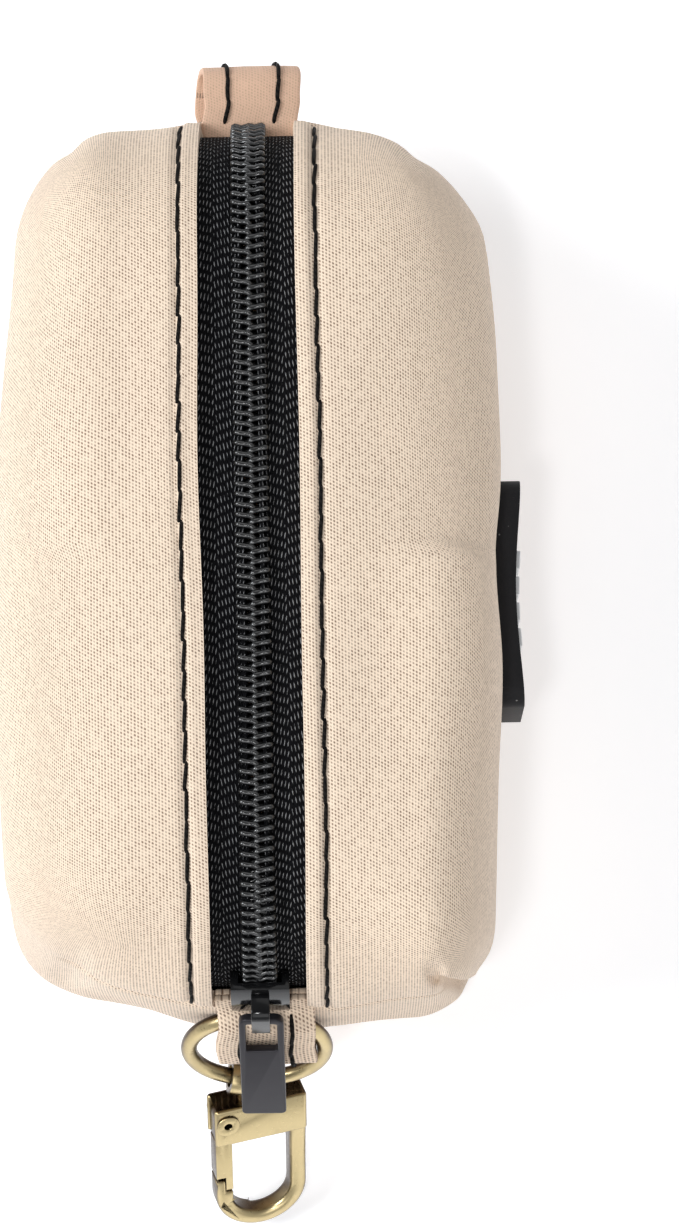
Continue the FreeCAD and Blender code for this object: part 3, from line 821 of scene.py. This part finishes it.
def round_the_groove(run):
    """Along the middle of the groove: a rectangle with rounded corners."""
    straight = (groove_half_long - groove_bend, groove_half_tall - groove_bend)
    quarter = math.pi / 2 * groove_bend
    for k, (cy, cz) in enumerate(((1, 1), (-1, 1), (-1, -1), (1, -1))):
        # from this corner to the next, first straight and then round it
        long = 2 * straight[k % 2]
        forward = ((-1, 0), (0, -1), (1, 0), (0, 1))[k]
        if run < long:
            start = (cy * (straight[0] if k % 2 == 0 else groove_half_long),
                     cz * (groove_half_tall if k % 2 == 0 else straight[1]))
            spot = (start[0] + forward[0] * run, start[1] + forward[1] * run)
            break
        run -= long
        if run < quarter or k == 3:
            angle = math.pi / 2 * (k + 1) + run / groove_bend
            turn_y, turn_z = ((-1, 1), (-1, -1), (1, -1), (1, 1))[k]
            spot = (turn_y * straight[0] + groove_bend * math.cos(angle),
                    turn_z * straight[1] + groove_bend * math.sin(angle))
            break
        run -= quarter
    place = (patch_high.x - groove_deep, patch_middle.y + spot[0] * mm, patch_middle.z + spot[1] * mm)
    return cupped(Vector(place)), Vector((1, 0, 0))


round_length = (4 * (groove_half_long - groove_bend) + 4 * (groove_half_tall - groove_bend)
                + 2 * math.pi * groove_bend)
groove_line = measured(round_the_groove, 0.0, round_length - 0.3, 300)
groove_row = stitch_row("patch_thread", groove_line, stitch=2.6, gap=0.35, radius=0.2,
                        seed=3, sway=0.03, sink=0.2, lift=0.0)
wear(groove_row, thread_black)
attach(groove_row, "pouch")
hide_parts("patch_stitching")


# --- Ring, swivel, clasp ----------------------------------------------------
# Zinc castings and a brass-plated wire ring, antiqued with mottled dark oxide. Over that is
# painted light: faces turned up and to the near end are painted pale gold as a painted
# highlight, and the other sides brown-black as painted shade. The hook is well rounded.
def antique_brass():
    material, tree, shader = new_material("antique_brass", Metallic=1.0, Specular_IOR_Level=0.5)
    where = node(tree, "ShaderNodeTexCoord").outputs["Object"]
    cloud = node(tree, "ShaderNodeTexNoise", {"Vector": where, "Scale": 220.0, "Detail": 4.0}).outputs[0]
    fine = node(tree, "ShaderNodeTexNoise", {"Vector": where, "Scale": 2600.0, "Detail": 2.0}).outputs[0]
    # painted light: pale gold where the surface faces up and to the near end (painted highlight), brown-black
    # on the other sides (painted shade)
    outward = node(tree, "ShaderNodeTexCoord").outputs["Normal"]
    facing = node(tree, "ShaderNodeVectorMath", {0: outward, 1: (0.1, -0.45, 0.89)},
                  operation="DOT_PRODUCT").outputs["Value"]
    painted_light_side = node(tree, "ShaderNodeMapRange", {0: facing, 1: 0.25, 2: 0.95, 3: 0.0, 4: 0.75}).outputs[0]
    amount = maths(tree, "ADD", maths(tree, "MULTIPLY", cloud, 0.5), painted_light_side, clamp=True)
    shade = node(tree, "ShaderNodeValToRGB", {0: amount})
    shade.color_ramp.elements[0].position, shade.color_ramp.elements[0].color = 0.30, (0.055, 0.036, 0.022, 1)
    shade.color_ramp.elements[1].position, shade.color_ramp.elements[1].color = 0.90, (0.60, 0.48, 0.26, 1)
    tree.links.new(shade.outputs[0], shader.inputs["Base Color"])
    rough = maths(tree, "ADD", maths(tree, "MULTIPLY", fine, 0.16), 0.22)
    tree.links.new(rough, shader.inputs["Roughness"])
    tree.links.new(bump(tree, fine, 0.00001), shader.inputs["Normal"])
    return material


brass = antique_brass()
ring_low, ring_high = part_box("o_ring")
ring_mean, ring_wire, ring_slope = 8.3 * mm, 1.0 * mm, 66.7
bpy.ops.object.select_all(action="DESELECT")
bpy.ops.mesh.primitive_torus_add(major_segments=96, minor_segments=24, major_radius=ring_mean,
                                 minor_radius=ring_wire, location=(ring_low + ring_high) / 2,
                                 rotation=(math.radians(180 + ring_slope), 0, 0))
ring = bpy.context.active_object
ring.name = ring.data.name = "ring"
bpy.ops.object.transform_apply(location=True, rotation=True, scale=True)
smooth(ring, 60)
wear(ring, brass)
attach(ring, "ring")
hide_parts("o_ring")


hook_down = Vector((0, -0.682, -0.731))         # the way that the hook hangs
hook_top, hook_round = -67.9 * mm, 0.75 * mm
nose_side, nose_low = -3.0 * mm, -76.2 * mm     # its nose stays square


def on_hook(edge):
    """Whether the edge is one of the hook's corners, which are well rounded."""
    a, b = (vert.co for vert in edge.verts)
    straight = abs((a - b).normalized().dot(hook_down)) > 0.97 and min(a.y, b.y) < hook_top - 3 * mm
    nose = min(a.x, b.x) < nose_side and max(a.y, b.y) > nose_low
    return edge.calc_face_angle(0) > 0.6 and (max(a.y, b.y) < hook_top or straight) and not nose


def rounded_copy(source, name, width, hooked=False):
    """A copy of a CAD node with its edges broken by a small round."""
    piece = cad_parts[source].copy()
    piece.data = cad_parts[source].data.copy()
    piece.parent = None
    for key in list(piece.keys()):
        del piece[key]
    piece.name = piece.data.name = name
    bpy.context.scene.collection.objects.link(piece)
    edit(piece)
    bpy.ops.mesh.remove_doubles(threshold=0.002 * mm)
    bpy.ops.mesh.dissolve_limited(angle_limit=math.radians(1.0))
    if hooked:
        pick_edges(piece, on_hook)
        bpy.ops.mesh.bevel(offset=hook_round, segments=4, affect="EDGES", clamp_overlap=False)
    done()
    modifier(piece, "BEVEL", width=width * mm, segments=3, limit_method="ANGLE",
             angle_limit=math.radians(35), use_clamp_overlap=not hooked)
    smooth(piece, 35)
    return piece


for source, name, body, width in (
        ("swivel_eye", "swivel", "swivel", 0.22), ("clasp_body", "clasp", "clasp", 0.3),
        ("clasp_gate", "gate", "gate", 0.25), ("gate_pin", "rivet", "clasp", 0.1)):
    piece = rounded_copy(source, name, width, hooked=name == "clasp")
    wear(piece, brass)
    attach(piece, body)
    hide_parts(source)

steel, steel_tree, steel_shader = new_material("spring_steel", Metallic=1.0, Roughness=0.3)
steel_where = node(steel_tree, "ShaderNodeTexCoord").outputs["Object"]
steel_cloud = node(steel_tree, "ShaderNodeTexNoise", {"Vector": steel_where, "Scale": 900.0}).outputs[0]
steel_tree.links.new(blend_colours(steel_tree, steel_cloud, (0.30, 0.30, 0.31, 1),
                                   (0.48, 0.48, 0.48, 1)), steel_shader.inputs["Base Color"])
spring = rounded_copy("gate_spring", "leaf_spring", 0.06)
wear(spring, steel)
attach(spring, "clasp")
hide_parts("gate_spring")


# --- Slider and pull --------------------------------------------------------
# A die-cast slider painted gloss black, with a bent strap on its back that
# holds the gunmetal-plated pull.
def plated(name, dark, light, roughness, metallic):
    material, tree, shader = new_material(name, Metallic=metallic, Specular_IOR_Level=0.3)
    where = node(tree, "ShaderNodeTexCoord").outputs["Object"]
    cloud = node(tree, "ShaderNodeTexNoise", {"Vector": where, "Scale": 500.0, "Detail": 3.0}).outputs[0]
    tree.links.new(blend_colours(tree, cloud, (*dark, 1), (*light, 1)), shader.inputs["Base Color"])
    rough = maths(tree, "ADD", maths(tree, "MULTIPLY", cloud, 0.1), roughness)
    tree.links.new(rough, shader.inputs["Roughness"])
    return material


slider_paint = plated("slider_paint", (0.003, 0.003, 0.003), (0.007, 0.007, 0.008), 0.08, 0.0)
pull_plate = plated("pull_plate", (0.026, 0.024, 0.028), (0.036, 0.034, 0.038), 0.30, 0.6)
for source, name, body, width, finish, slot in (
        ("slider_body", "slider", "slider", 0.22, slider_paint, "slider_black"),
        ("slider_bail", "bail", "slider", 0.12, slider_paint, "slider_black"),
        ("pull_tab", "pull", "pull", 0.18, pull_plate, "pull_gunmetal")):
    piece = rounded_copy(source, name, width)
    wear(piece, finish)
    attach(piece, body)
    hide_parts(source)


# --- Table and lights -------------------------------------------------------
# A pale table in a bright room whose ceiling is darker than its walls. A large
# soft light stands on the left, with weaker ones near, above and far.
bpy.ops.object.select_all(action="DESELECT")
bpy.ops.mesh.primitive_plane_add(size=4.0, location=(0, 0, 0))
table = bpy.context.active_object
table.name = "table"
table.data.transform(Matrix.Translation((0, 0, -0.0001)))
paper, paper_tree, paper_shader = new_material("table_paper", Roughness=0.9, Specular_IOR_Level=0.1,
                                               Emission_Strength=0.33)
paper_where = node(paper_tree, "ShaderNodeTexCoord").outputs["Object"]
paper_cloud = node(paper_tree, "ShaderNodeTexNoise", {"Vector": paper_where, "Scale": 6.0}).outputs[0]
paper_tint = blend_colours(paper_tree, paper_cloud, (0.93, 0.93, 0.95, 1), (0.96, 0.96, 0.97, 1))
paper_tree.links.new(paper_tint, paper_shader.inputs["Base Color"])
paper_tree.links.new(paper_tint, paper_shader.inputs["Emission Color"])
wear(table, paper)

world = bpy.data.worlds.new("room")
world.use_nodes = True
room = world.node_tree
upward = node(room, "ShaderNodeTexCoord").outputs["Generated"]
height = node(room, "ShaderNodeSeparateXYZ", {0: upward}).outputs[2]
walls = node(room, "ShaderNodeMapRange", {0: height, 1: 0.45, 2: 0.95, 3: 0.56, 4: 0.17})
room.links.new(walls.outputs[0], room.nodes["Background"].inputs[1])
room.nodes["Background"].inputs[0].default_value = (0.96, 0.98, 1.0, 1)
bpy.context.scene.world = world


def softbox(name, place, aim, size, power, colour):
    data = bpy.data.lights.new(name, "AREA")
    data.shape, data.size, data.energy, data.color = "SQUARE", size, power, colour
    lamp = bpy.data.objects.new(name, data)
    bpy.context.scene.collection.objects.link(lamp)
    lamp.location = place
    lamp.rotation_euler = (Vector(aim) - Vector(place)).to_track_quat("-Z", "Y").to_euler()


softbox("key_light", (-0.60, 0.06, 0.64), (0, 0, 0.03), 0.42, 5.5, (0.96, 1.0, 1.03))
softbox("fill_light", (0.05, -0.60, 0.75), (0, 0, 0.03), 0.6, 2.0, (0.98, 0.99, 1.0))
softbox("ceiling_lamp", (-0.10, -0.22, 0.95), (0, 0, 0.03), 0.08, 1.4, (1.0, 1.0, 1.0))
softbox("far_light", (0.15, 0.62, 0.55), (0, 0, 0.03), 0.5, 0.5, (1.0, 0.99, 0.98))
bpy.context.scene.view_settings.view_transform = "Standard"
